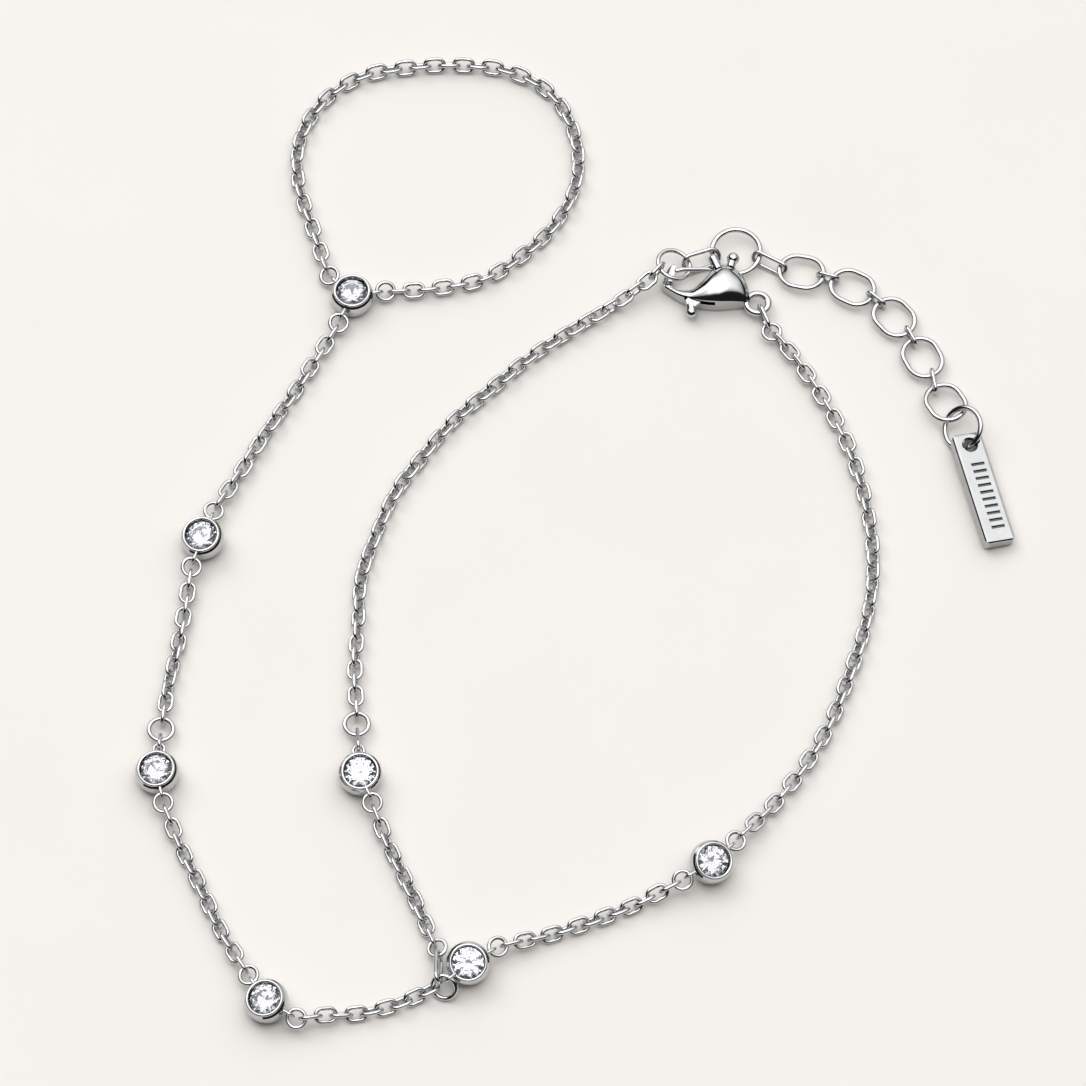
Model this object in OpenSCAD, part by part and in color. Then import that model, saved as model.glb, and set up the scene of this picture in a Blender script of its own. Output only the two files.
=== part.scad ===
// Hand chain: a finger loop, a hand strand and a wrist loop of fine cable
// chain, joined at seven ball settings, with a lobster clasp and an extender.
// It lies flat on the plane z = 0, in millimetres.

/* [Cable chain] */
// Wire of a cable link
link_wire = 0.30; // [0.26:0.01:0.31]
// Outer length of a cable link
link_length = 1.85; // [1.83:0.01:1.90]
// Outer width of a cable link
link_width = 1.30; // [1.26:0.01:1.32]
// Longest step from one link to the next
link_step = 1.12; // [1.06:0.01:1.13]

/* [Jump rings] */
// Middle radius of a small jump ring
ring_r = 0.67; // [0.65:0.01:0.70]
// Wire of a small jump ring
ring_wire = 0.31; // [0.28:0.01:0.32]
// Middle radius of a large jump ring
big_r = 0.90; // [0.86:0.01:0.95]
// Wire of a large jump ring
big_wire = 0.36; // [0.32:0.01:0.38]

/* [Settings] */
// Radius of a ball setting
ball_r = 1.63; // [1.60:0.01:1.68]
// Height from the middle of a ball to its rim, and to its base
ball_cut = 0.90; // [0.86:0.01:0.94]
// Inner radius of the rim
cup_r = 1.21; // [1.19:0.01:1.23]
// Radius of a stone at its girdle
stone_r = 1.14; // [1.10:0.01:1.15]
// Wire of a soldered eyelet
eyelet_wire = 0.26; // [0.22:0.01:0.27]

/* [Clasp] */
// Wire of the ring that the clasp holds
end_ring_wire = 0.36; // [0.32:0.01:0.37]
// Wire of the clasp's gate
gate_wire = 0.34; // [0.30:0.01:0.34]
// Radius of the lever's pin
pin_r = 0.20; // [0.18:0.01:0.21]
// Play between the pin and the lever's hub
pin_play = 0.03; // [0.02:0.01:0.05]

/* [Extender] */
// Outer length of an extender link
oval_length = 3.78; // [3.72:0.01:3.80]
// Outer width of an extender link
oval_width = 3.10; // [3.00:0.01:3.15]
// Wire of an extender link
oval_wire = 0.42; // [0.38:0.01:0.43]
// Width of the tag
tag_width = 2.40; // [2.30:0.01:2.45]
// Length of the tag
tag_length = 9.40; // [9.20:0.01:9.50]
// Thickness of the tag
tag_thick = 1.00; // [0.90:0.01:1.00]

/* [Hidden] */
$fn = 48;
GAP = 0.10;                       // play between linked pieces
CENTRE = [2.594, 0.775, 0.006];         // middle of the whole outline

// Directions
function unit(v) = v / norm(v);
function heading(az, el = 0) = [cos(el) * cos(az), cos(el) * sin(az), sin(el)];
function side(az) = [-sin(az), cos(az), 0];
function over(az, el) = [-sin(el) * cos(az), -sin(el) * sin(az), cos(el)];
function az_of(v) = atan2(v[1], v[0]);
function el_of(v) = atan2(v[2], norm([v[0], v[1]]));
function mix(a, b, t) = a + (b - a) * t;

// A ring is [middle, azimuth, pitch, roll, radius, wire].
function ring_normal(r) = cos(r[3]) * over(r[1], r[2]) - sin(r[3]) * side(r[1]);
function in_plane(n, az) =
    unit([cos(az), sin(az), -(n[0] * cos(az) + n[1] * sin(az)) / n[2]]);
function wire_at(r, az) = r[0] + r[4] * in_plane(ring_normal(r), az);
// Roll at which a link stands square to a ring
function square_roll(r, az) =
    let(n = ring_normal(r)) atan2(n * over(az, 0), n * side(az));
// Roll at which a ring shows its opening best from the front
function open_roll(az) = 28 * cos(az);

// Settings: x, y, lean, azimuth of the lean
BALL = [
    [-14.44,  20.69,  0.0,    0],
    [-25.37,  -0.20, 10.0,  223],
    [-13.43, -19.82, 13.0,  -90],
    [-28.34, -19.66,  9.0,  229],
    [-20.02, -38.24, 15.0,  218],
    [ -5.43, -35.26, 22.0,  -90],
    [ 12.30, -27.12, 23.0,  -54]];
base_r = sqrt(ball_r * ball_r - ball_cut * ball_cut);
hole_reach = 1.90;                // middle of a ball to an eyelet's hole
eyelet_bend = 0.26 + eyelet_wire / 2;
function ball_at(i) =
    [BALL[i][0], BALL[i][1],
     ball_cut * cos(BALL[i][2]) + base_r * sin(BALL[i][2]) + 0.01];
function hole_at(i, az, rise) = ball_at(i) + hole_reach * heading(az, rise);
function rise_at(az) = -1.5 - 6.5 * sin(az);
function pitch_at(az) = -8 + 10 * sin(az);
function ring_on(i, az) =
    [hole_at(i, az, rise_at(az)) + ring_r * heading(az, pitch_at(az)),
     az, pitch_at(az), open_roll(az), ring_r, ring_wire];

// Small jump rings on the settings
A_LEFT = ring_on(0, 133);
A_RIGHT = ring_on(0, 11);
A_BOTTOM = ring_on(0, -113);
B_TOP = ring_on(1, 72);
B_BOTTOM = ring_on(1, -108);
C_BOTTOM = ring_on(2, -69);
D_BOTTOM = ring_on(3, -79);
E_TOP = ring_on(4, 122);
E_RIGHT = ring_on(4, -32);
F_RIGHT = ring_on(5, 33);
G_UP = ring_on(6, 45);
G_LOW = ring_on(6, -146);

// Upright links and large rings on the third and fourth setting
upright_wire = 0.30;
upright_width = 1.12;
upright_z = 0.70;                 // height of the large ring's wire there
function crest_at(i, az) = hole_at(i, az, 0) + eyelet_bend * heading(az);
function upright_far(i, az, reach) =
    let(p = hole_at(i, az, 0) + reach * heading(az)) [p[0], p[1], upright_z];
function large_ring(p, az) = [p + big_r * heading(az), az, 0, 0, big_r, big_wire];
C_CREST = crest_at(2, 94);
C_FAR = upright_far(2, 94, 1.52);
C_TOP = large_ring(C_FAR, 94);
D_CREST = crest_at(3, 87);
D_FAR = upright_far(3, 87, 0.92);
D_TOP = large_ring(D_FAR, 87);

// Junction of hand strand and wrist loop
F_LOW = [hole_at(5, -135, 8) + big_r * heading(-135, -50),
         -135, -50, open_roll(-135), big_r, big_wire];
junction_wire = 0.32;
JOIN_A = wire_at(F_LOW, 126);
JOIN_B = JOIN_A + 2.05 * heading(90, -17);
F_UP = [JOIN_B + ring_r * heading(98, -6), 98, -6, -18, ring_r, ring_wire];

// Clasp: its own directions are u to the nose and v to the front
CLASP = [16.22, 20.08, 0];
clasp_az = 165.7;
function clasp_at(p) =
    CLASP + p[0] * heading(clasp_az) + p[1] * side(clasp_az) + [0, 0, p[2]];
PIVOT = [3.2, -1.5];
EYE_R = 0.83;
eye_wire = 0.52;
EYE_Z = 0.82;
plate_low = 1.00;
plate_high = 1.35;
EYE_AZ = -68.4;
eye_link_wire = 0.32;
EYE_P = clasp_at([0, 0, EYE_Z]) + EYE_R * heading(EYE_AZ);
EYE_Q = EYE_P + 1.17 * heading(EYE_AZ);
CLASP_RING = [EYE_Q + ring_r * heading(-62, -4), -62, -4, 0, ring_r, ring_wire];

// The ring that the clasp holds leans up over the nose.
END_RING = [clasp_at([6.88, -1.53, 1.18]), clasp_az + 27, 19, 0, 1.28,
            end_ring_wire];
mid_ring_wire = 0.42;
MID_RING = [clasp_at([2.63, -4.0, 0.79]), 90, 6, 0, 1.83, mid_ring_wire];
end_link_wire = 0.34;
END_P = wire_at(END_RING, clasp_az + 208);
END_Q = wire_at(MID_RING, clasp_az + 28);
long_wire = 0.32;

// Extender: middle of each oval link and its azimuth
oval_reach = oval_length / 2 - oval_wire / 2;
OVAL = [
    [[19.60, 22.90, 0.64], -12],
    [[23.44, 21.56, 0.63], -28],
    [[26.55, 18.98, 0.60], -51],
    [[28.62, 15.50, 0.60], -65]];
TAG_RING = [[31.48, 9.16, 1.15], -75, -8, 36, 1.55, oval_wire];
LAST_END = wire_at(TAG_RING, 118) + (oval_wire + 2.2 * GAP) * heading(-62, 8.6);
OVALS = concat(
    [for (o = OVAL) [o[0], o[1], 0]],
    [[LAST_END - oval_reach * heading(-62, 8.6), -62, 8.6]]);
function oval_end(o, way) = o[0] + way * oval_reach * heading(o[1], o[2]);
connector_wire = 0.30;
LONG_P = wire_at(MID_RING, -17);
LONG_Q = oval_end(OVALS[0], -1);
TAG_HOLE = wire_at(TAG_RING, -75) + 0.10 * heading(-75);
tag_roll = -9;
tag_dip = 1.7;
tag_hole_r = 0.50;
tag_bevel = 0.24;
MARKS = 10;

// Chain routes between the rings, x and y of points by hand
FINGER = [
    [-17.5, 26.8], [-18.6, 30.6], [-18.6, 34.4], [-17.0, 37.8], [-14.0, 40.2],
    [-10.2, 41.1], [-6.3, 41.3], [-2.5, 40.7], [0.7, 38.6], [2.4, 35.1],
    [2.6, 31.2], [1.2, 27.6], [-1.3, 24.7], [-4.4, 22.4], [-8.2, 21.5]];
HAND_1 = [[-17.1, 15.4], [-18.9, 12.2], [-20.8, 9.0], [-22.6, 5.7]];
HAND_2 = [[-26.5, -5.3], [-27.0, -8.6], [-27.6, -11.8]];
HAND_3 = [[-26.6, -25.3], [-25.0, -28.8], [-23.4, -32.4]];
HAND_4 = [[-15.5, -39.2], [-12.7, -38.8], [-10.1, -38.0]];
WRIST_LEFT = [
    [8.0, 21.8], [5.2, 19.9], [2.1, 17.8], [-1.0, 15.5], [-3.8, 12.9],
    [-6.6, 10.2], [-8.9, 7.2], [-11.0, 4.0], [-12.4, 0.5], [-13.5, -3.2],
    [-13.7, -7.0], [-13.9, -10.8]];
WRIST_MIDDLE = [[-11.5, -24.9], [-10.3, -27.6], [-9.1, -30.4]];
WRIST_FRONT = [[0.3, -32.7], [3.9, -31.4], [7.4, -29.9]];
WRIST_RIGHT = [
    [16.9, -22.1], [19.3, -18.8], [21.2, -15.3], [22.6, -11.5], [23.8, -7.7],
    [24.5, -3.7], [24.5, 0.3], [23.9, 4.3], [22.8, 8.2], [21.1, 11.9],
    [19.1, 15.3]];

// A strand is [start ring, azimuth out of it, points, end ring, azimuth out
// of it, extra roll at mid-length, length over which it comes to the ground].
STRANDS = [
    [A_BOTTOM, -118, HAND_1, B_TOP, 60, 0, 3.4],
    [B_BOTTOM, -99, HAND_2, D_TOP, 82, 18, 3.0],
    [D_BOTTOM, -69, HAND_3, E_TOP, 119, 22, 3.4],
    [E_RIGHT, 2, HAND_4, F_LOW, 176, 4, 3.4],
    [END_RING, clasp_az + 39, WRIST_LEFT, C_TOP, 91, 40, 5.0],
    [C_BOTTOM, -69, WRIST_MIDDLE, F_UP, 116, 26, 3.0],
    [F_RIGHT, 18, WRIST_FRONT, G_LOW, -153, 15, 3.4],
    [G_UP, 49, WRIST_RIGHT, CLASP_RING, -50, -10, 3.4]];

// Smooth curve through points, measured along its length
SPAN_STEPS = 6;
function curve(p0, p1, p2, p3, t) =
    0.5 * ((2 * p1) + (p2 - p0) * t + (2 * p0 - 5 * p1 + 4 * p2 - p3) * t * t
           + (3 * p1 - p0 - 3 * p2 + p3) * t * t * t);
function dense(p) =
    let(n = len(p),
        q = concat([2 * p[0] - p[1]], p, [2 * p[n - 1] - p[n - 2]]))
    concat(
        [for (i = [0:n - 2], k = [0:SPAN_STEPS - 1])
            curve(q[i], q[i + 1], q[i + 2], q[i + 3], k / SPAN_STEPS)],
        [p[n - 1]]);
function run(d) =
    [for (i = 0, s = 0; i < len(d);
          i = i + 1, s = s + (i < len(d) ? norm(d[i] - d[i - 1]) : 0)) s];
function column(s, d, k) = [for (i = [0:len(d) - 1]) [s[i], d[i][k]]];
function flat(p) = [p[0], p[1]];
function fall(t) = t >= 1 ? 0 : pow(1 - t, 2) * (1 + 2 * t);
function wrap(a) = a - 180 * floor((a + 90) / 180);

link_bend = (link_width - link_wire) / 2;
function lead(r) =
    link_length / 2 - link_wire - GAP - r[5] / 2;
function strand_route(s) =
    dense(concat([flat(wire_at(s[0], s[1]))], s[2], [flat(wire_at(s[3], s[4]))]));

// Places of a strand's links: [point, azimuth, elevation, roll]
function strand_links(s) =
    let(a = wire_at(s[0], s[1]),
        b = wire_at(s[3], s[4]),
        d = strand_route(s),
        sl = run(d),
        xs = column(sl, d, 0),
        ys = column(sl, d, 1),
        whole = sl[len(sl) - 1],
        in = lead(s[0]),
        out = lead(s[3]),
        n = ceil((whole - in - out) / link_step) + 1,
        step = (whole - in - out) / (n - 1),
        first = square_roll(s[0], s[1]),
        last = square_roll(s[3], s[4] + 180),
        twist = wrap(last - first - 90 * (n - 1)) / (n - 1),
        roll = [for (i = [0:n - 1])
            first + i * (90 + twist)
            + (s[5] + 5 * sin(137 * i)) * min(1, 1.5 * sin(180 * i / (n - 1)))],
        at = [for (i = [0:n - 1])
            let(m = in + i * step,
                low = link_wire / 2 + 0.03
                      + link_bend * max(abs(sin(roll[i])), abs(cos(roll[i]))))
            [lookup(m, xs), lookup(m, ys),
             low + (a[2] - low) * fall(m / s[6])
                 + (b[2] - low) * fall((whole - m) / s[6])]])
    [for (i = [0:n - 1])
        let(v = (i == n - 1 ? b : at[i + 1]) - (i == 0 ? a : at[i - 1]))
        [at[i], az_of(v), el_of(v), roll[i]]];

// Basic shapes
module place() translate(-CENTRE) children();

module torus(r, wire) rotate_extrude($fn = 48) translate([r, 0]) circle(d = wire, $fn = 24);

module loop(length, width, wire) {
    bend = (width - wire) / 2;
    half = (length - width) / 2;
    for (turn = [0, 180]) rotate([0, 0, turn]) {
        translate([half, 0, 0]) rotate([0, 0, -90])
            rotate_extrude(angle = 180, $fn = 48) translate([bend, 0]) circle(d = wire, $fn = 24);
        translate([-half, bend, 0]) rotate([0, 90, 0]) cylinder(h = 2 * half, d = wire, $fn = 24);
    }
}

module ring(r)
    place() translate(r[0]) rotate([0, -r[2], r[1]]) rotate([r[3], 0, 0]) torus(r[4], r[5]);

// A loop that holds the wire of one piece at p and of another at q
module bridge(p, wire_p, q, wire_q, wire, width, roll) {
    v = q - p;
    length = norm(v) + (wire_p + wire_q) / 2 + 2 * GAP + 2 * wire;
    translate((p + q) / 2 + unit(v) * (wire_q - wire_p) / 4)
        rotate([0, -el_of(v), az_of(v)]) rotate([roll, 0, 0]) loop(length, width, wire);
}

module eyelet(az, rise, roll)
    rotate([0, -rise, az]) rotate([roll, 0, 0]) {
        translate([hole_reach, 0, 0]) rotate([0, 0, -90])
            rotate_extrude(angle = 180, $fn = 48)
                translate([eyelet_bend, 0]) circle(d = eyelet_wire, $fn = 24);
        for (way = [-1, 1]) translate([1.5, way * eyelet_bend, 0])
            rotate([0, 90, 0]) cylinder(h = hole_reach - 1.5, d = eyelet_wire, $fn = 24);
    }

// Settings and stones
lip_r = 0.12;
lip_reach = 1.30;
neck_z = ball_cut - 0.34;         // where the ball starts to narrow to its rim
girdle_z = 0.42;
module ball_body()
    difference() {
        union() {
            intersection() {
                sphere(r = ball_r, $fn = 64);
                rotate_extrude($fn = 64) polygon([
                    [0, -ball_cut], [2 * ball_r, -ball_cut], [2 * ball_r, neck_z],
                    [1.53, neck_z], [1.35, ball_cut - 1.3 * lip_r],
                    [0, ball_cut - 1.3 * lip_r]]);
            }
            translate([0, 0, ball_cut - lip_r])
                rotate_extrude($fn = 64) translate([lip_reach, 0]) circle(r = lip_r, $fn = 24);
        }
        rotate_extrude($fn = 64) polygon([
            [0, -0.62], [0.28, -0.62], [cup_r - 0.02, girdle_z - 0.05],
            [cup_r, girdle_z + 0.10], [lip_reach - lip_r + 0.01, ball_cut - lip_r],
            [lip_reach - lip_r + 0.01, ball_cut + 0.2], [0, ball_cut + 0.2]]);
    }

module lean(i)
    rotate([0, 0, BALL[i][3]]) rotate([0, BALL[i][2], 0]) rotate([0, 0, -BALL[i][3]]) children();

// eyes: rows of [azimuth, rise, roll]
module setting(i, eyes)
    color("silver") place() translate(ball_at(i)) {
        lean(i) ball_body();
        difference() {
            for (e = eyes) eyelet(e[0], e[1], e[2]);
            sphere(r = 1.45, $fn = 48);
        }
    }
function small_eye(az) = [az, rise_at(az), open_roll(az) + 90];

// A round brilliant: table, eight kites, stars and halves, sixteen-sided girdle
crown_tilt = 0.69;
pavilion_tilt = 0.86;
table_r = 0.62 * stone_r;
star_r = 0.80 * stone_r;
lower_r = 0.30 * stone_r;
girdle_h = 0.05;
function spot(r, az, z) = [r * cos(az), r * sin(az), z];
STONE_POINTS = concat(
    [for (k = [0:7]) spot(table_r, 45 * k, girdle_h + (stone_r - table_r) * crown_tilt)],
    [for (k = [0:7]) spot(star_r, 45 * k + 22.5,
        girdle_h + (stone_r - star_r * cos(22.5)) * crown_tilt)],
    [for (k = [0:15]) spot(stone_r, 22.5 * k, girdle_h)],
    [for (k = [0:15]) spot(stone_r, 22.5 * k, 0)],
    [for (k = [0:7]) spot(lower_r, 45 * k + 22.5,
        -(stone_r - lower_r * cos(22.5)) * pavilion_tilt)],
    [[0, 0, -stone_r * pavilion_tilt]]);
module stone(i)
    color("white") place() translate(ball_at(i)) lean(i)
        translate([0, 0, girdle_z]) rotate([0, 0, 11 * i]) hull()
            polyhedron(STONE_POINTS, [for (k = [0:2:54]) [k, k + 1, k + 2]]);

// Chains
module strand(k)
    color("silver") place() for (l = strand_links(STRANDS[k]))
        translate(l[0]) rotate([0, -l[2], l[1]]) rotate([l[3], 0, 0])
            loop(link_length, link_width, link_wire);

// The finger chain as one tube of its outer diameter
tube_r = 0.62;
TUBE_SIDES = 8;
tube_step = 2.9;
module finger_chain() {
    a = wire_at(A_LEFT, 112);
    b = wire_at(A_RIGHT, 3);
    d = dense(concat([flat(a)], FINGER, [flat(b)]));
    sl = run(d);
    xs = column(sl, d, 0);
    ys = column(sl, d, 1);
    trim = 0.30;
    whole = sl[len(sl) - 1];
    n = ceil((whole - 2 * trim) / tube_step);
    rings = [for (i = [0:n])
        let(m = trim + (whole - 2 * trim) * i / n,
            z = tube_r + 0.01 + (a[2] - tube_r) * fall(m / 3.4)
                + (b[2] - tube_r) * fall((whole - m) / 3.4),
            az = atan2(lookup(m + 0.2, ys) - lookup(m - 0.2, ys),
                       lookup(m + 0.2, xs) - lookup(m - 0.2, xs)))
        [for (k = [0:TUBE_SIDES - 1])
            [lookup(m, xs), lookup(m, ys), z]
            + tube_r * (cos(360 * (k + 0.5) / TUBE_SIDES) * side(az)
                        + sin(360 * (k + 0.5) / TUBE_SIDES) * [0, 0, 1])]];
    points = [for (r = rings) each r];
    faces = concat(
        [[for (k = [0:TUBE_SIDES - 1]) k]],
        [for (i = [0:n - 1], k = [0:TUBE_SIDES - 1])
            let(a0 = i * TUBE_SIDES, k1 = (k + 1) % TUBE_SIDES)
            each [[a0 + k, a0 + TUBE_SIDES + k, a0 + k1],
                  [a0 + k1, a0 + TUBE_SIDES + k, a0 + TUBE_SIDES + k1]]],
        [[for (k = [TUBE_SIDES - 1:-1:0]) n * TUBE_SIDES + k]]);
    color("silver") place() polyhedron(points, faces);
}

// Clasp
// Sections along u: u, front v, back v, front top, back top, back bottom, dome
CLASP_ROWS = [
    [0.62,  0.24, -0.34, 1.02, 1.00, 0.58, 0.00],
    [0.82,  0.28, -0.72, 1.15, 1.15, 0.62, 0.05],
    [1.10,  0.34, -1.20, 1.30, 1.30, 0.75, 0.22],
    [1.60,  0.52, -1.80, 1.45, 1.40, 0.90, 0.45],
    [2.20,  0.75, -2.22, 1.60, 1.45, 0.95, 0.60],
    [2.70,  0.93, -2.43, 1.68, 1.48, 0.98, 0.65],
    [3.20,  1.04, -2.38, 1.70, 1.48, 0.98, 0.63],
    [3.60,  1.11, -2.10, 1.70, 1.46, 0.96, 0.55],
    [3.90,  1.14, -1.72, 1.68, 1.45, 0.94, 0.46],
    [4.20,  1.16, -1.15, 1.64, 1.45, 0.85, 0.34],
    [4.60,  1.16, -0.35, 1.56, 1.42, 0.55, 0.20],
    [5.00,  1.15,  0.20, 1.46, 1.34, 0.32, 0.10],
    [5.40,  1.10,  0.40, 1.37, 1.27, 0.24, 0.06],
    [6.00,  0.95,  0.46, 1.26, 1.18, 0.22, 0.04],
    [6.40,  0.78,  0.36, 1.19, 1.12, 0.22, 0.04],
    [6.56,  0.71,  0.12, 1.14, 1.06, 0.24, 0.03],
    [6.64,  0.67, -0.30, 1.12, 1.00, 0.28, 0.02],
    [6.69,  0.65, -1.10, 1.11, 0.90, 0.34, 0.00],
    [6.74,  0.62, -1.56, 1.10, 0.84, 0.36, 0.00],
    [6.82,  0.59, -1.76, 1.09, 0.82, 0.36, 0.00],
    [6.93,  0.54, -1.84, 1.08, 0.81, 0.36, 0.00],
    [7.06,  0.48, -1.78, 1.05, 0.80, 0.37, 0.00],
    [7.18,  0.41, -1.58, 1.01, 0.78, 0.39, 0.00],
    [7.29,  0.31, -1.22, 0.95, 0.76, 0.43, 0.00],
    [7.37,  0.20, -0.80, 0.88, 0.74, 0.48, 0.00],
    [7.43,  0.08, -0.40, 0.78, 0.70, 0.54, 0.00]];
TOP_STEPS = 6;
function clasp_section(r) =
    let(f = r[1], b = r[2], w = f - b, c = min(0.10, w / 5))
    concat(
        [[f - c, 0.03], [f, 0.03 + c], [f, r[3] - c]],
        [for (k = [0:TOP_STEPS])
            let(t = k / TOP_STEPS)
            [mix(f - c, b + c, t), mix(r[3], r[4], t) + 4 * r[6] * t * (1 - t)]],
        [[b, r[4] - c], [b, r[5] + c], [b + c, r[5]]],
        [for (t = [0.7, 0.4])
            [mix(f - c, b + c, t), mix(0.03, r[5], t * t)]]);
SECTION_SIZE = 3 + TOP_STEPS + 1 + 3 + 2;
module clasp_shell() {
    n = len(CLASP_ROWS);
    points = [for (r = CLASP_ROWS, q = clasp_section(r)) [r[0], q[0], q[1]]];
    faces = concat(
        [[for (k = [0:SECTION_SIZE - 1]) k]],
        [for (i = [0:n - 2], k = [0:SECTION_SIZE - 1])
            let(a0 = i * SECTION_SIZE, k1 = (k + 1) % SECTION_SIZE)
            each [[a0 + k, a0 + SECTION_SIZE + k, a0 + k1],
                  [a0 + k1, a0 + SECTION_SIZE + k, a0 + SECTION_SIZE + k1]]],
        [[for (k = [SECTION_SIZE - 1:-1:0]) (n - 1) * SECTION_SIZE + k]]);
    polyhedron(points, faces);
}

slot_low = plate_low - 0.06;
slot_high = plate_high + 0.06;
module clasp_frame() place() translate(CLASP) rotate([0, 0, clasp_az]) children();
module rod(a, b, r)
    translate(a) rotate([0, 90 - el_of(b - a), az_of(b - a)])
        cylinder(h = norm(b - a), r = r, $fn = 32);

module clasp_body() color("silver") clasp_frame() {
    difference() {
        clasp_shell();
        translate([0, 0, slot_low]) linear_extrude(slot_high - slot_low) polygon([
            PIVOT + [-0.72, 0.0], PIVOT + [-0.60, -0.45], PIVOT + [-0.2, -1.3],
            PIVOT + [1.6, -1.3], PIVOT + [1.6, 0.70], PIVOT + [0.85, 0.62],
            PIVOT + [2.45, 2.9], PIVOT + [-0.10, 2.9], PIVOT + [-0.35, 0.65],
            PIVOT + [-0.62, 0.42]]);
        translate([0, 0, EYE_Z]) cylinder(h = 3, r = 0.58, center = true);
    }
    translate([0, 0, EYE_Z]) torus(EYE_R, eye_wire);
    translate([PIVOT[0], PIVOT[1], slot_low - 0.15])
        cylinder(h = slot_high - slot_low + 0.3, r = pin_r, $fn = 32);
    rod([3.45, -1.65, 1.76], [4.05, -2.42, 1.76], 0.35);
    translate([4.05, -2.42, 1.76]) sphere(r = 0.37, $fn = 32);
    rod([2.62, -2.06, 1.66], [2.62, -2.84, 1.64], 0.34);
    translate([2.62, -2.88, 1.64]) sphere(r = 0.48, $fn = 32);
}

// The lever turns on the pin; its arc of travel opens the hook.
GATE = [[3.62, -1.97, 1.175], [6.05, -1.00, 1.70], [6.50, -0.80, 1.64]];
module clasp_lever() color("silver") clasp_frame() {
    difference() {
        union() {
            translate([PIVOT[0], PIVOT[1], plate_low])
                cylinder(h = plate_high - plate_low, r = 0.50, $fn = 48);
            translate([0, 0, plate_low]) linear_extrude(plate_high - plate_low) polygon([
                PIVOT + [-0.10, 0.45], PIVOT + [0.45, 0.10],
                [5.26, 1.30], [5.12, 1.62], [4.50, 1.70], [4.20, 1.32]]);
            translate([0, 0, plate_low]) linear_extrude(plate_high - plate_low) polygon([
                PIVOT + [-0.10, -0.45], PIVOT + [0.50, -0.62], PIVOT + [0.62, -0.30],
                PIVOT + [0.45, 0.10]]);
            rod([4.86, 1.38, 1.02], [4.66, 2.00, 0.84], 0.40);
            translate([4.66, 2.00, 0.84]) sphere(r = 0.43, $fn = 32);
        }
        translate([PIVOT[0], PIVOT[1], 0]) cylinder(h = 3, r = pin_r + pin_play, $fn = 32);
    }
    for (k = [0, 1]) rod(GATE[k], GATE[k + 1], gate_wire / 2);
    for (p = GATE) translate(p) sphere(d = gate_wire + 0.02, $fn = 32);
}

// Extender tag: a round-edged bar with a round hole and plain marks
tag_corner = 0.45;                // radius of its corners seen from above
function round_outline(w, h, r, steps) = [
    for (c = [[1, 1, 0], [-1, 1, 90], [-1, -1, 180], [1, -1, 270]], k = [0:steps])
        [c[0] * (w / 2 - r) + r * cos(c[2] + 90 * k / steps),
         c[1] * (h / 2 - r) + r * sin(c[2] + 90 * k / steps)]];
module bar_profile(w, h) polygon(round_outline(w, h, tag_bevel, 3));
tag_end = 1.05;                   // from the hole's middle to the near end
module tag_place()
    place() translate(TAG_HOLE) rotate([0, tag_dip, -75]) rotate([tag_roll, 0, 0]) children();
module tag() color("silver") difference() {
    tag_place() difference() {
        intersection() {
            translate([-tag_end, 0, 0]) rotate([90, 0, 90])
                linear_extrude(tag_length) bar_profile(tag_width, tag_thick);
            translate([tag_length / 2 - tag_end, tag_width / 2, 0]) rotate([90, 0, 0])
                linear_extrude(tag_width) bar_profile(tag_length, tag_thick);
            translate([tag_length / 2 - tag_end, 0, -tag_thick / 2])
                linear_extrude(tag_thick)
                    polygon(round_outline(tag_length, tag_width, tag_corner, 4));
        }
        cylinder(h = 2, r = tag_hole_r, center = true, $fn = 48);
        for (way = [0, 180]) rotate([way, 0, 0]) translate([0, 0, tag_thick / 2 - 0.12])
            cylinder(h = 0.13, r1 = tag_hole_r, r2 = tag_hole_r + 0.13, $fn = 48);
        for (k = [0:MARKS - 1])
            translate([1.70 + 0.60 * k, 0.12, tag_thick / 2]) rotate([0, 45, 0])
                cube([0.18, 1.05, 0.18], center = true);
    }
    ring([TAG_RING[0], TAG_RING[1], TAG_RING[2], TAG_RING[3], TAG_RING[4],
          TAG_RING[5] + 2 * GAP]);
}

module connectors() color("silver") place() for (i = [0:3])
    bridge(oval_end(OVALS[i], 1), oval_wire, oval_end(OVALS[i + 1], -1), oval_wire,
           connector_wire, 1.16, 90);
module oval(i) color("silver") place()
    translate(OVALS[i][0]) rotate([0, -OVALS[i][2], OVALS[i][1]])
        loop(oval_length, oval_width, oval_wire);

// Sub-parts
RING_NAMES = [
    "finger_ring_left", "finger_ring_right", "finger_ring_low", "hand_ring_1",
    "hand_ring_2", "wrist_ring_left", "hand_ring_4", "hand_ring_5", "hand_ring_6",
    "wrist_ring_front", "wrist_ring_right", "wrist_ring_corner", "clasp_ring",
    "wrist_ring_large", "hand_ring_large", "junction_ring_low", "junction_ring_up",
    "end_ring", "extender_ring", "tag_ring"];
RINGS = [A_LEFT, A_RIGHT, A_BOTTOM, B_TOP, B_BOTTOM, C_BOTTOM, D_BOTTOM, E_TOP,
         E_RIGHT, F_RIGHT, G_UP, G_LOW, CLASP_RING, C_TOP, D_TOP, F_LOW, F_UP,
         END_RING, MID_RING, TAG_RING];
STRAND_NAMES = ["hand_chain_1", "hand_chain_2", "hand_chain_3", "hand_chain_4",
                "wrist_chain_left", "wrist_chain_middle", "wrist_chain_front",
                "wrist_chain_right"];
STONE_NAMES = ["stone_1", "stone_2", "stone_3", "stone_4", "stone_5", "stone_6", "stone_7"];
SETTING_NAMES = ["setting_1", "setting_2", "setting_3", "setting_4", "setting_5",
                 "setting_6", "setting_7"];
OVAL_NAMES = ["extender_oval_1", "extender_oval_2", "extender_oval_3",
              "extender_oval_4", "extender_oval_5"];
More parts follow.
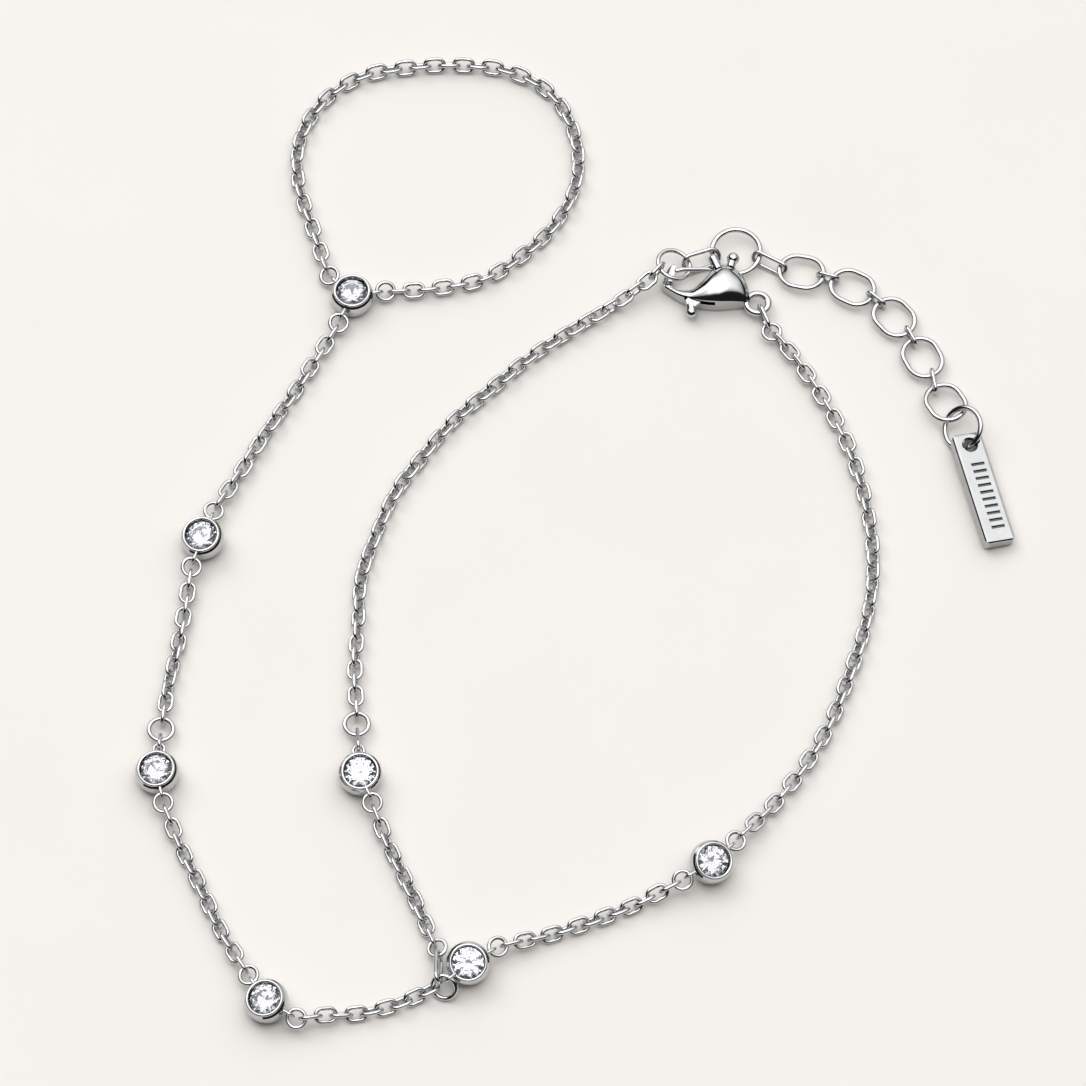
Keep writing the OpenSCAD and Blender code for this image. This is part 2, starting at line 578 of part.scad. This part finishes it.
SETTING_EYES = [
    [small_eye(133), small_eye(11), small_eye(-113)],
    [small_eye(72), small_eye(-108)],
    [[94, 0, 0], small_eye(-69)],
    [[87, 0, 0], small_eye(-79)],
    [small_eye(122), small_eye(-32)],
    [[-135, 8, open_roll(-135) + 90], small_eye(33)],
    [small_eye(45), small_eye(-146)]];

for (i = [0:6]) {
    setting(i, SETTING_EYES[i]);
    stone(i);
}
for (i = [0:len(RINGS) - 1])
    color("silver") ring(RINGS[i]);
for (i = [0:7])
    strand(i);
for (i = [0:4])
    oval(i);
finger_chain();
color("silver") place()  // wrist_link
    bridge(C_CREST, eyelet_wire, C_FAR, big_wire, upright_wire, upright_width, 90);
color("silver") place()  // hand_link
    bridge(D_CREST, eyelet_wire, D_FAR, big_wire, upright_wire, upright_width, 90);
color("silver") place()  // junction_link
    bridge(JOIN_A, big_wire, JOIN_B, ring_wire, junction_wire, 1.20, 66);
color("silver") place()  // clasp_link
    bridge(EYE_P, eye_wire, EYE_Q, ring_wire, eye_link_wire, 1.60, 90);
color("silver") place()  // end_link
    bridge(END_P, end_ring_wire, END_Q, mid_ring_wire + 0.06, end_link_wire, 1.72, 54);
color("silver") place()  // extender_link
    bridge(LONG_P, mid_ring_wire + 0.06, LONG_Q, oval_wire + 0.04, long_wire, 1.32, 62);
connectors();  // extender_connectors
tag();
clasp_body();
clasp_lever();
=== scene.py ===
"""Hand chain with seven set stones: looks, floor, light and camera."""

import math

import bpy
from mathutils import Matrix, Vector


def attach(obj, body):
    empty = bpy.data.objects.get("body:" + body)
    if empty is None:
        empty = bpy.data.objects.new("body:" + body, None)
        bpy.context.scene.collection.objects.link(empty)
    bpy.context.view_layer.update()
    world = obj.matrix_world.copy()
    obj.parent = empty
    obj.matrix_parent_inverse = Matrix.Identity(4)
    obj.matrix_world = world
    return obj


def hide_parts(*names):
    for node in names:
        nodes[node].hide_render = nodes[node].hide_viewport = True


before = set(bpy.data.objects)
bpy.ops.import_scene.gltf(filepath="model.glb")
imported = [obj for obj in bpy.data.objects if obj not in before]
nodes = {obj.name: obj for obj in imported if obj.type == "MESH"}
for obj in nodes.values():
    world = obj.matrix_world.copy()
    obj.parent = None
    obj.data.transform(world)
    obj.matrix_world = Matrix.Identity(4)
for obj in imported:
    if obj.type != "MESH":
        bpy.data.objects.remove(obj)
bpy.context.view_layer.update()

MM = 0.001
# Middle of the whole outline in millimetres, which the frame has at its origin
CENTRE = Vector((2.594, 0.775, 0.006))


def rad(degrees):
    return math.radians(degrees)


def add_object(name, data):
    made = bpy.data.objects.new(name, data)
    bpy.context.scene.collection.objects.link(made)
    return made


# Camera at the photograph's angle
CAMERA_DISTANCE = 650 * MM
CAMERA_ELEVATION = rad(62)
CAMERA_LENS = 288.7
CAMERA_SENSOR = 36
CAMERA_NEAR = 0.01
CAMERA_FAR = 20
target = -CENTRE * MM
back = Vector((0, -math.cos(CAMERA_ELEVATION), math.sin(CAMERA_ELEVATION)))
camera_data = bpy.data.cameras.new("camera")
camera_data.lens = CAMERA_LENS
camera_data.sensor_width = CAMERA_SENSOR
camera_data.clip_start = CAMERA_NEAR
camera_data.clip_end = CAMERA_FAR
camera = add_object("camera", camera_data)
camera.location = target + back * CAMERA_DISTANCE
camera.rotation_mode = "QUATERNION"
camera.rotation_quaternion = (-back).to_track_quat("-Z", "Y")
bpy.context.scene.camera = camera

# Materials
# Range that most of a noise's values lie in
NOISE_LOW = 0.3
NOISE_HIGH = 0.7
METAL_CLOUD_SCALE = 900
METAL_GRAIN_SCALE = 5200
METAL_GRAIN_DETAIL = 5
METAL_GRAIN_DEPTH = 0.004 * MM
PLAIN_RELIEF = 0.12
BRUSHED_RELIEF = 0.25
# Turn and stretch of the brushed grain, which runs along the tag
BRUSH_LINES = ((0, 0, rad(75)), (0.06, 1, 1))
GEM_TRANSMISSION = 0.93
GEM_IOR = 1.95
GEM_DARK = (0.80, 0.81, 0.87)
GEM_LIGHT = (0.88, 0.89, 0.94)
GEM_CLOUD_SCALE = 1500
GEM_ROUGH = 0.02


def new_material(name):
    material = bpy.data.materials.new(name)
    material.use_nodes = True
    tree = material.node_tree
    shader = tree.nodes["Principled BSDF"]
    where = tree.nodes.new("ShaderNodeTexCoord")
    return material, tree, shader, where.outputs["Object"]


def noise(tree, vector, scale, detail=3.0, stretch=None):
    if stretch:
        mapping = tree.nodes.new("ShaderNodeMapping")
        mapping.inputs["Rotation"].default_value = stretch[0]
        mapping.inputs["Scale"].default_value = stretch[1]
        tree.links.new(vector, mapping.inputs["Vector"])
        vector = mapping.outputs["Vector"]
    node = tree.nodes.new("ShaderNodeTexNoise")
    node.inputs["Scale"].default_value = scale
    node.inputs["Detail"].default_value = detail
    tree.links.new(vector, node.inputs["Vector"])
    return node.outputs["Fac"]


def spread(tree, value, low, high, start=NOISE_LOW, end=NOISE_HIGH):
    """Turns values from start to end into values from low to high."""
    node = tree.nodes.new("ShaderNodeMapRange")
    node.inputs["From Min"].default_value = start
    node.inputs["From Max"].default_value = end
    node.inputs["To Min"].default_value = low
    node.inputs["To Max"].default_value = high
    tree.links.new(value, node.inputs["Value"])
    return node.outputs["Result"]


def ramp(tree, value, stops):
    node = tree.nodes.new("ShaderNodeValToRGB")
    elements = node.color_ramp.elements
    while len(elements) < len(stops):
        elements.new(0.5)
    for element, (position, colour) in zip(elements, stops):
        element.position = position
        element.color = (*colour, 1)
    tree.links.new(value, node.inputs["Fac"])
    return node.outputs["Color"]


def two_tone(tree, value, dark, light):
    return ramp(tree, value, [(NOISE_LOW, dark), (NOISE_HIGH, light)])


def bump(tree, shader, height, strength, distance):
    node = tree.nodes.new("ShaderNodeBump")
    node.inputs["Strength"].default_value = strength
    node.inputs["Distance"].default_value = distance
    tree.links.new(height, node.inputs["Height"])
    tree.links.new(node.outputs["Normal"], shader.inputs["Normal"])


def metal(name, dark, light, rough_low, rough_high, stretch=None, relief=PLAIN_RELIEF):
    material, tree, shader, where = new_material(name)
    shader.inputs["Metallic"].default_value = 1
    tint = two_tone(tree, noise(tree, where, METAL_CLOUD_SCALE), dark, light)
    tree.links.new(tint, shader.inputs["Base Color"])
    grain = noise(tree, where, METAL_GRAIN_SCALE, METAL_GRAIN_DETAIL, stretch)
    rough = spread(tree, grain, rough_low, rough_high)
    tree.links.new(rough, shader.inputs["Roughness"])
    bump(tree, shader, grain, relief, METAL_GRAIN_DEPTH)
    return material


def gem(name):
    material, tree, shader, where = new_material(name)
    shader.inputs["Transmission Weight"].default_value = GEM_TRANSMISSION
    shader.inputs["IOR"].default_value = GEM_IOR
    cloud = noise(tree, where, GEM_CLOUD_SCALE)
    tint = two_tone(tree, cloud, GEM_DARK, GEM_LIGHT)
    tree.links.new(tint, shader.inputs["Base Color"])
    rough = spread(tree, cloud, 0.0, GEM_ROUGH)
    tree.links.new(rough, shader.inputs["Roughness"])
    return material


polished = metal("polished_silver", dark=(0.53, 0.535, 0.54), light=(0.57, 0.575, 0.58),
                 rough_low=0.03, rough_high=0.07)
wire = metal("chain_silver", dark=(0.52, 0.525, 0.53), light=(0.57, 0.575, 0.58),
             rough_low=0.04, rough_high=0.09)
brushed = metal("brushed_silver", dark=(0.42, 0.425, 0.43), light=(0.47, 0.475, 0.48),
                rough_low=0.14, rough_high=0.24, stretch=BRUSH_LINES, relief=BRUSHED_RELIEF)
crystal = gem("clear_stone")


def dress(name, material):
    for material_slot in nodes[name].material_slots:
        material_slot.material = material


for name in nodes:
    if name.startswith("stone_"):
        dress(name, crystal)
    elif name == "tag":
        dress(name, brushed)
    elif "_chain" in name:
        dress(name, wire)
    else:
        dress(name, polished)


# Meshes
def smooth_piece(name, verts, faces, material):
    """A piece from a shape in millimetres."""
    mesh = bpy.data.meshes.new(name)
    mesh.from_pydata([tuple(v * MM) for v in verts], [], faces)
    mesh.materials.append(material)
    mesh.shade_smooth()
    return add_object(name, mesh)


def card_mesh(name, width, depth, height, material):
    """A flat rectangle, in metres."""
    corners = [(-1, -1), (1, -1), (1, 1), (-1, 1)]
    verts = [(x * width / 2, y * depth / 2, height) for x, y in corners]
    mesh = bpy.data.meshes.new(name)
    mesh.from_pydata(verts, [], [(0, 1, 2, 3)])
    mesh.materials.append(material)
    return mesh


def grid_faces(rows, sides, closed):
    """Faces from row to row of a tube; a closed one runs back to its first row."""
    faces = []
    for i in range(rows if closed else rows - 1):
        j = (i + 1) % rows
        for k in range(sides):
            m = (k + 1) % sides
            faces.append((i * sides + k, j * sides + k, j * sides + m, i * sides + m))
    return faces


# Finger chain: links on a curve between two jump rings, in millimetres
LINK_LENGTH = 1.85
LINK_WIDTH = 1.30
LINK_WIRE = 0.30
LINK_STEP = 1.12
LINK_BEND_STEPS = 14
LINK_SIDES = 14
GAP = 0.10
FLOOR_GAP = 0.03
RING_R = 0.67
RING_WIRE = 0.31
# Middle of the first setting, and how far its eyelets' holes lie from it
BALL = Vector((-14.44, 20.69, 0.91))
HOLE_REACH = 1.90
# Each angle of an eyelet or its ring: a middle value, and how far it swings round the setting
HOLE_RISE = (-1.5, -6.5)
RING_PITCH = (-8, 10)
RING_LEAN = 28
# Directions of the two jump rings from the setting, and of the chain from each ring
START_AZ = 133
START_WIRE_AZ = 112
END_AZ = 11
END_WIRE_AZ = 3
FINGER = [
    (-17.5, 26.8), (-18.6, 30.6), (-18.6, 34.4), (-17.0, 37.8), (-14.0, 40.2),
    (-10.2, 41.05), (-6.3, 41.25), (-2.5, 40.7), (0.7, 38.6), (2.4, 35.1),
    (2.6, 31.2), (1.2, 27.6), (-1.3, 24.7), (-4.4, 22.4), (-8.2, 21.5)]
# Length over which a strand sinks from its ring to the floor
FALL = 3.4
# Steps of a smooth curve from one given point to the next
SPAN_STEPS = 6
# Degrees that links are rolled out of square: all of them, and each a little to and fro
FINGER_ROLL = -24
ROLL_PLAY = 5
ROLL_PLAY_TURN = 137
# How steeply this roll grows from the strand's ends; in its middle it is whole
ROLL_RISE = 1.5


def heading(azimuth, elevation=0.0):
    a, e = rad(azimuth), rad(elevation)
    return Vector((math.cos(e) * math.cos(a), math.cos(e) * math.sin(a), math.sin(e)))


def ring_frame(azimuth):
    """Middle and normal of the small jump ring on the first setting."""
    rise = HOLE_RISE[0] + HOLE_RISE[1] * math.sin(rad(azimuth))
    pitch = RING_PITCH[0] + RING_PITCH[1] * math.sin(rad(azimuth))
    lean = rad(RING_LEAN * math.cos(rad(azimuth)))
    middle = BALL + HOLE_REACH * heading(azimuth, rise) + RING_R * heading(azimuth, pitch)
    a, e = rad(azimuth), rad(pitch)
    over = Vector((-math.sin(e) * math.cos(a), -math.sin(e) * math.sin(a), math.cos(e)))
    side = Vector((-math.sin(a), math.cos(a), 0))
    return middle, math.cos(lean) * over - math.sin(lean) * side


def wire_at(ring, azimuth):
    """Point on a ring's wire, seen from its middle at an azimuth."""
    middle, normal = ring
    flat = heading(azimuth)
    flat.z = -(normal.x * flat.x + normal.y * flat.y) / normal.z
    return middle + RING_R * flat.normalized()


def square_roll(ring, azimuth):
    """Roll that sets a link square to a ring."""
    normal = ring[1]
    side = Vector((-math.sin(rad(azimuth)), math.cos(rad(azimuth)), 0))
    return math.degrees(math.atan2(normal.z, normal.dot(side)))


def smooth_route(points):
    """Points of a smooth curve through the given ones."""
    ends = [2 * points[0] - points[1], *points, 2 * points[-1] - points[-2]]
    route = []
    for p0, p1, p2, p3 in zip(ends, ends[1:], ends[2:], ends[3:]):
        for k in range(SPAN_STEPS):
            t = k / SPAN_STEPS
            route.append(0.5 * (2 * p1 + (p2 - p0) * t
                                + (2 * p0 - 5 * p1 + 4 * p2 - p3) * t * t
                                + (3 * p1 - p0 - 3 * p2 + p3) * t ** 3))
    return route + [points[-1]]


def running_lengths(route):
    lengths = [0.0]
    for p, q in zip(route, route[1:]):
        lengths.append(lengths[-1] + (q - p).length)
    return lengths


def along(route, lengths, distance):
    for a, b, la, lb in zip(route, route[1:], lengths, lengths[1:]):
        if distance <= lb:
            return a + (b - a) * ((distance - la) / (lb - la))
    return route[-1]


def fall(t):
    return 0 if t >= 1 else (1 - t) ** 2 * (1 + 2 * t)


def link_rolls(first, last, count, extra):
    """Roll of each link: a quarter turn from link to link, and some play between the ends."""
    turn = last - first - 90 * (count - 1)
    twist = (turn - 180 * math.floor((turn + 90) / 180)) / (count - 1)
    rolls = []
    for i in range(count):
        play = ((extra + ROLL_PLAY * math.sin(rad(ROLL_PLAY_TURN * i)))
                * min(1, ROLL_RISE * math.sin(math.pi * i / (count - 1))))
        rolls.append(first + i * (90 + twist) + play)
    return rolls


def resting_height(roll):
    """Height of the middle of a link that lies on the floor."""
    bend = (LINK_WIDTH - LINK_WIRE) / 2
    reach = max(abs(math.sin(rad(roll))), abs(math.cos(rad(roll))))
    return LINK_WIRE / 2 + FLOOR_GAP + bend * reach


def link_places(start, start_az, points, end, end_az, extra):
    """Matrices of a strand's links."""
    a, b = wire_at(start, start_az), wire_at(end, end_az)
    route = smooth_route([a.xy, *[Vector(p) for p in points], b.xy])
    lengths = running_lengths(route)
    whole = lengths[-1]
    lead = LINK_LENGTH / 2 - LINK_WIRE - GAP - RING_WIRE / 2
    count = math.ceil((whole - 2 * lead) / LINK_STEP) + 1
    step = (whole - 2 * lead) / (count - 1)
    first = square_roll(start, start_az)
    last = square_roll(end, end_az + 180)
    rolls = link_rolls(first, last, count, extra)
    middles = []
    for i, roll in enumerate(rolls):
        distance = lead + i * step
        low = resting_height(roll)
        height = (low + (a.z - low) * fall(distance / FALL)
                  + (b.z - low) * fall((whole - distance) / FALL))
        middles.append(Vector((*along(route, lengths, distance), height)))
    line = [a, *middles, b]
    places = []
    for i, roll in enumerate(rolls):
        way = (line[i + 2] - line[i]).normalized()
        turn_z = Matrix.Rotation(math.atan2(way.y, way.x), 4, "Z")
        turn_y = Matrix.Rotation(-math.asin(way.z), 4, "Y")
        turn_x = Matrix.Rotation(rad(roll), 4, "X")
        places.append(Matrix.Translation(middles[i] - CENTRE) @ turn_z @ turn_y @ turn_x)
    return places


def loop_mesh(length, width, thick):
    """Vertices and faces of a loop of round wire with two straight sides."""
    bend = (width - thick) / 2
    half = (length - width) / 2
    up = Vector((0, 0, 1))
    verts = []
    for turn, shift in ((0, half), (180, -half)):
        for i in range(LINK_BEND_STEPS + 1):
            angle = rad(turn - 90 + 180 * i / LINK_BEND_STEPS)
            out = Vector((math.cos(angle), math.sin(angle), 0))
            middle = Vector((shift + bend * math.cos(angle), bend * math.sin(angle), 0))
            for k in range(LINK_SIDES):
                side = 2 * math.pi * k / LINK_SIDES
                verts.append(middle + thick / 2 * (math.cos(side) * out + math.sin(side) * up))
    return verts, grid_faces(2 * (LINK_BEND_STEPS + 1), LINK_SIDES, True)


link_verts, link_faces = loop_mesh(LINK_LENGTH, LINK_WIDTH, LINK_WIRE)
chain_verts, chain_faces = [], []
for place in link_places(ring_frame(START_AZ), START_WIRE_AZ, FINGER,
                         ring_frame(END_AZ), END_WIRE_AZ, FINGER_ROLL):
    base = len(chain_verts)
    chain_verts += [place @ v for v in link_verts]
    chain_faces += [tuple(base + k for k in face) for face in link_faces]
finger_links = smooth_piece("finger_chain_links", chain_verts, chain_faces, wire)
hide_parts("finger_chain")
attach(finger_links, "chain")

# Clasp body: a smooth loft with a slot and an eye, in millimetres
# Its own u runs from the eye to the hook's bend, and its v toward the front
CLASP_EYE = Vector((16.22, 20.08, 0))
CLASP_AZ = 165.7
CLASP_PLACE = Matrix.Translation(CLASP_EYE - CENTRE) @ Matrix.Rotation(rad(CLASP_AZ), 4, "Z")
# Sections along u: u, front v, back v, front top, back top, back bottom, dome
CLASP_ROWS = [
    (0.62, 0.24, -0.34, 1.02, 1.00, 0.58, 0.00),
    (0.82, 0.28, -0.72, 1.15, 1.15, 0.62, 0.05),
    (1.10, 0.34, -1.20, 1.30, 1.30, 0.75, 0.22),
    (1.60, 0.52, -1.80, 1.45, 1.40, 0.90, 0.45),
    (2.20, 0.75, -2.22, 1.60, 1.45, 0.95, 0.60),
    (2.70, 0.93, -2.43, 1.68, 1.48, 0.98, 0.65),
    (3.20, 1.04, -2.38, 1.70, 1.48, 0.98, 0.63),
    (3.60, 1.11, -2.10, 1.70, 1.46, 0.96, 0.55),
    (3.90, 1.14, -1.72, 1.68, 1.45, 0.94, 0.46),
    (4.20, 1.16, -1.15, 1.64, 1.45, 0.85, 0.34),
    (4.60, 1.16, -0.35, 1.56, 1.42, 0.55, 0.20),
    (5.00, 1.15, 0.20, 1.46, 1.34, 0.32, 0.10),
    (5.40, 1.10, 0.40, 1.37, 1.27, 0.24, 0.06),
    (6.00, 0.95, 0.46, 1.26, 1.18, 0.22, 0.04),
    (6.40, 0.78, 0.36, 1.19, 1.12, 0.22, 0.04),
    (6.56, 0.71, 0.12, 1.14, 1.06, 0.24, 0.03),
    (6.64, 0.67, -0.30, 1.12, 1.00, 0.28, 0.02),
    (6.69, 0.65, -1.10, 1.11, 0.90, 0.34, 0.00),
    (6.74, 0.62, -1.56, 1.10, 0.84, 0.36, 0.00),
    (6.82, 0.59, -1.76, 1.09, 0.82, 0.36, 0.00),
    (6.93, 0.54, -1.84, 1.08, 0.81, 0.36, 0.00),
    (7.06, 0.48, -1.78, 1.05, 0.80, 0.37, 0.00),
    (7.18, 0.41, -1.58, 1.01, 0.78, 0.39, 0.00),
    (7.29, 0.31, -1.22, 0.95, 0.76, 0.43, 0.00),
    (7.37, 0.20, -0.80, 0.88, 0.74, 0.48, 0.00),
    (7.43, 0.08, -0.40, 0.78, 0.70, 0.54, 0.00)]
EDGE_CUT = 0.10
DOME_STEPS = 24
DOME_POWER = 2.3
UNDER_FRONT_Z = 0.03
UNDER_STEPS = (0.85, 0.7, 0.55, 0.4, 0.2)
SLOT = [(2.48, -1.50), (2.60, -1.95), (3.00, -2.80), (4.80, -2.80), (4.80, -0.80),
        (4.05, -0.88), (5.65, 1.40), (3.10, 1.40), (2.85, -0.85), (2.58, -1.08)]
SLOT_LOW, SLOT_HIGH = 0.94, 1.41
EYE_Z, EYE_R, EYE_WIRE, EYE_BORE = 0.82, 0.83, 0.52, 0.58
BORE_LOW, BORE_HIGH = -1, 3
# Prongs: where each starts and ends, its radius and the radius of its ball
PRONGS = [((3.45, -1.65, 1.76), (4.05, -2.42, 1.76), 0.35, 0.37),
          ((2.62, -2.06, 1.66), (2.62, -2.88, 1.64), 0.34, 0.48)]
BORE_STEPS = 64
PRONG_STEPS = 32
EYE_STEPS = 72
EYE_SIDES = 32
SHARP_ANGLE = rad(38)


def mix(a, b, t):
    return a + (b - a) * t


def clasp_section(row):
    u, front, back_v, top, back_top, bottom, dome = row
    cut = min(EDGE_CUT, (front - back_v) / 5)
    edge, far = front - cut, back_v + cut
    points = [(edge, UNDER_FRONT_Z), (front, UNDER_FRONT_Z + cut), (front, top - cut)]
    for k in range(DOME_STEPS + 1):
        t = k / DOME_STEPS
        rise = dome * (1 - abs(2 * t - 1) ** DOME_POWER)
        points.append((mix(edge, far, t), mix(top, back_top, t) + rise))
    points += [(back_v, back_top - cut), (back_v, bottom + cut), (far, bottom)]
    for t in UNDER_STEPS:
        points.append((mix(edge, far, t), mix(UNDER_FRONT_Z, bottom, t * t)))
    return [Vector((u, v, z)) for v, z in points]


def clasp_loft():
    columns = [clasp_section(row) for row in CLASP_ROWS]
    finer = [smooth_route(line) for line in zip(*columns)]
    size = len(finer)
    sections = list(zip(*finer))
    verts = [v for section in sections for v in section]
    faces = [tuple(range(size)), tuple(range(len(verts) - size, len(verts)))[::-1]]
    return verts, faces + grid_faces(len(sections), size, False)


def prism(points, low, high):
    count = len(points)
    verts = [Vector((x, y, z)) for z in (low, high) for x, y in points]
    faces = [tuple(range(count))[::-1], tuple(range(count, 2 * count))]
    for k in range(count):
        m = (k + 1) % count
        faces.append((k, m, count + m, count + k))
    return verts, faces


def round_points(radius, steps):
    angles = [2 * math.pi * k / steps for k in range(steps)]
    return [(radius * math.cos(angle), radius * math.sin(angle)) for angle in angles]


def rod_shape(start, end, radius):
    turn = (end - start).normalized().to_track_quat("Z", "Y").to_matrix().to_4x4()
    place = Matrix.Translation(start) @ turn
    verts, faces = prism(round_points(radius, PRONG_STEPS), 0, (end - start).length)
    return [place @ v for v in verts], faces


def ball_shape(middle, radius):
    verts = []
    rings = PRONG_STEPS // 2
    for i in range(1, rings):
        lift = math.pi * i / rings
        for x, y in round_points(radius * math.sin(lift), PRONG_STEPS):
            verts.append(middle + Vector((x, y, radius * math.cos(lift))))
    top = tuple(range(PRONG_STEPS))
    bottom = tuple(range(len(verts) - PRONG_STEPS, len(verts)))[::-1]
    return verts, grid_faces(rings - 1, PRONG_STEPS, False) + [top, bottom]


def torus_shape(radius, thick, height):
    verts = []
    for i in range(EYE_STEPS):
        a = 2 * math.pi * i / EYE_STEPS
        for k in range(EYE_SIDES):
            b = 2 * math.pi * k / EYE_SIDES
            reach = radius + thick / 2 * math.cos(b)
            verts.append(Vector((reach * math.cos(a), reach * math.sin(a),
                                 height + thick / 2 * math.sin(b))))
    return verts, grid_faces(EYE_STEPS, EYE_SIDES, True)


def combine(piece, shape, operation):
    """Cuts a shape out of the piece, or joins it on."""
    other = smooth_piece("shape", *shape, polished)
    change = piece.modifiers.new("combine", "BOOLEAN")
    change.operation = operation
    change.solver = "EXACT"
    change.object = other
    graph = bpy.context.evaluated_depsgraph_get()
    made = bpy.data.meshes.new_from_object(piece.evaluated_get(graph))
    piece.modifiers.clear()
    piece.data = made
    bpy.data.objects.remove(other)


def clasp_body():
    body = smooth_piece("clasp_body_smooth", *clasp_loft(), polished)
    combine(body, prism(SLOT, SLOT_LOW, SLOT_HIGH), "DIFFERENCE")
    combine(body, prism(round_points(EYE_BORE, BORE_STEPS), BORE_LOW, BORE_HIGH), "DIFFERENCE")
    combine(body, torus_shape(EYE_R, EYE_WIRE, EYE_Z), "UNION")
    for start, end, radius, ball_radius in PRONGS:
        combine(body, rod_shape(Vector(start), Vector(end), radius), "UNION")
        combine(body, ball_shape(Vector(end), ball_radius), "UNION")
    body.data.transform(Matrix.Scale(MM, 4) @ CLASP_PLACE @ Matrix.Scale(1 / MM, 4))
    body.data.shade_smooth()
    body.data.set_sharp_from_angle(angle=SHARP_ANGLE)
    return body


body_piece = clasp_body()
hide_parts("clasp_body")
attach(body_piece, "chain")

# Soft box up at the back left
KEY_STRENGTH = 4.5
KEY_AZIMUTH = 135
KEY_ELEVATION = 48
KEY_DISTANCE = 1.2
KEY_SIZE = 1.1
# Part of the card's half width at which its glow starts to fade
FADE_START = 0.1


def soft_box(name, centre, width, height, strength):
    """A glowing card that fades to its rim; the camera doesn't see it."""
    material, tree, shader, where = new_material(name)
    tree.nodes.remove(shader)
    scale = tree.nodes.new("ShaderNodeMapping")
    scale.inputs["Scale"].default_value = (2 / width, 2 / height, 1)
    tree.links.new(where, scale.inputs["Vector"])
    reach = tree.nodes.new("ShaderNodeVectorMath")
    reach.operation = "LENGTH"
    tree.links.new(scale.outputs["Vector"], reach.inputs[0])
    fade = spread(tree, reach.outputs["Value"], 1.0, 0.0, FADE_START, 1.0)
    glow = tree.nodes.new("ShaderNodeEmission")
    glow.inputs["Strength"].default_value = strength
    clear = tree.nodes.new("ShaderNodeBsdfTransparent")
    blend = tree.nodes.new("ShaderNodeMixShader")
    tree.links.new(fade, blend.inputs["Fac"])
    tree.links.new(clear.outputs["BSDF"], blend.inputs[1])
    tree.links.new(glow.outputs["Emission"], blend.inputs[2])
    output = tree.nodes["Material Output"]
    tree.links.new(blend.outputs["Shader"], output.inputs["Surface"])
    piece = add_object(name, card_mesh(name, width, height, 0, material))
    facing = (target - centre).normalized()
    turn = facing.to_track_quat("Z", "Y").to_matrix().to_4x4()
    piece.matrix_world = Matrix.Translation(centre) @ turn
    piece.visible_camera = False
    piece.visible_shadow = False


def from_target(azimuth, elevation, distance):
    """A point seen from the object; azimuth 0 is +X and 90 is +Y."""
    return target + heading(azimuth, elevation) * distance


key_place = from_target(KEY_AZIMUTH, KEY_ELEVATION, KEY_DISTANCE)
soft_box("soft_box_key", key_place, KEY_SIZE, KEY_SIZE, KEY_STRENGTH)

# Floor
FLOOR_SIZE = 6.0
FLOOR_Z = -0.01 * MM
FLOOR_DARK = (0.748, 0.723, 0.689)
FLOOR_LIGHT = (0.758, 0.733, 0.699)
FLOOR_CLOUD_SCALE = 60
FLOOR_ROUGH = 0.9
FLOOR_SHINE = 0.1
floor_material, floor_tree, floor_shader, floor_where = new_material("pale_floor")
paper = noise(floor_tree, floor_where, FLOOR_CLOUD_SCALE)
floor_tint = two_tone(floor_tree, paper, FLOOR_DARK, FLOOR_LIGHT)
floor_tree.links.new(floor_tint, floor_shader.inputs["Base Color"])
floor_shader.inputs["Roughness"].default_value = FLOOR_ROUGH
floor_shader.inputs["Specular IOR Level"].default_value = FLOOR_SHINE
floor = add_object("floor", card_mesh("floor", FLOOR_SIZE, FLOOR_SIZE, FLOOR_Z, floor_material))

# Sky: bright overhead and dark at the horizon; the dark reaches higher in front and at the sides
# Each level is a height on the sky and how bright it is there
SKY_LEVELS = [(0.10, 0.01), (0.22, 0.04), (0.34, 0.35), (0.60, 0.68), (0.85, 1.00)]
SKY_LIGHT = 1.85
# How much lower a sideways or near direction counts, and how much higher a far one
RIGHT_DARK = 0.15
LEFT_DARK = -0.55
NEAR_DARK = 1.0
FAR_LIFT = 0.2
# A brighter cap of sky overhead, from its edge to where it is full
CAP_WAY = (0.0, -0.21, 0.98)
CAP_LIGHT = 3.6
CAP_EDGE = 0.88
CAP_FULL = 0.96
world = bpy.data.worlds.new("studio")
world.use_nodes = True
sky_tree = world.node_tree
sky = sky_tree.nodes["Background"]


def sky_math(operation, *values):
    node = sky_tree.nodes.new("ShaderNodeMath")
    node.operation = operation
    for socket, value in zip(node.inputs, values):
        if isinstance(value, (int, float)):
            socket.default_value = value
        else:
            sky_tree.links.new(value, socket)
    return node.outputs["Value"]


way = sky_tree.nodes.new("ShaderNodeTexCoord").outputs["Generated"]
split = sky_tree.nodes.new("ShaderNodeSeparateXYZ")
sky_tree.links.new(way, split.inputs["Vector"])
to_right = sky_math("MULTIPLY", split.outputs["X"], RIGHT_DARK)
to_left = sky_math("MULTIPLY", split.outputs["X"], LEFT_DARK)
sideways = sky_math("MAXIMUM", to_right, to_left)
height = sky_math("SUBTRACT", split.outputs["Z"], sideways)
nearness = sky_math("MINIMUM", split.outputs["Y"], 0)
height = sky_math("MULTIPLY_ADD", nearness, NEAR_DARK, height)
farness = sky_math("MAXIMUM", split.outputs["Y"], 0)
height = sky_math("MULTIPLY_ADD", farness, FAR_LIFT, height)
sky_tint = ramp(sky_tree, height, [(at, (level, level, level)) for at, level in SKY_LEVELS])
cap = sky_tree.nodes.new("ShaderNodeVectorMath")
cap.operation = "DOT_PRODUCT"
cap.inputs[1].default_value = CAP_WAY
sky_tree.links.new(way, cap.inputs[0])
cap_light = spread(sky_tree, cap.outputs["Value"], SKY_LIGHT, CAP_LIGHT, CAP_EDGE, CAP_FULL)
sky_tree.links.new(sky_tint, sky.inputs["Color"])
sky_tree.links.new(cap_light, sky.inputs["Strength"])
bpy.context.scene.world = world
bpy.context.scene.view_settings.view_transform = "Standard"
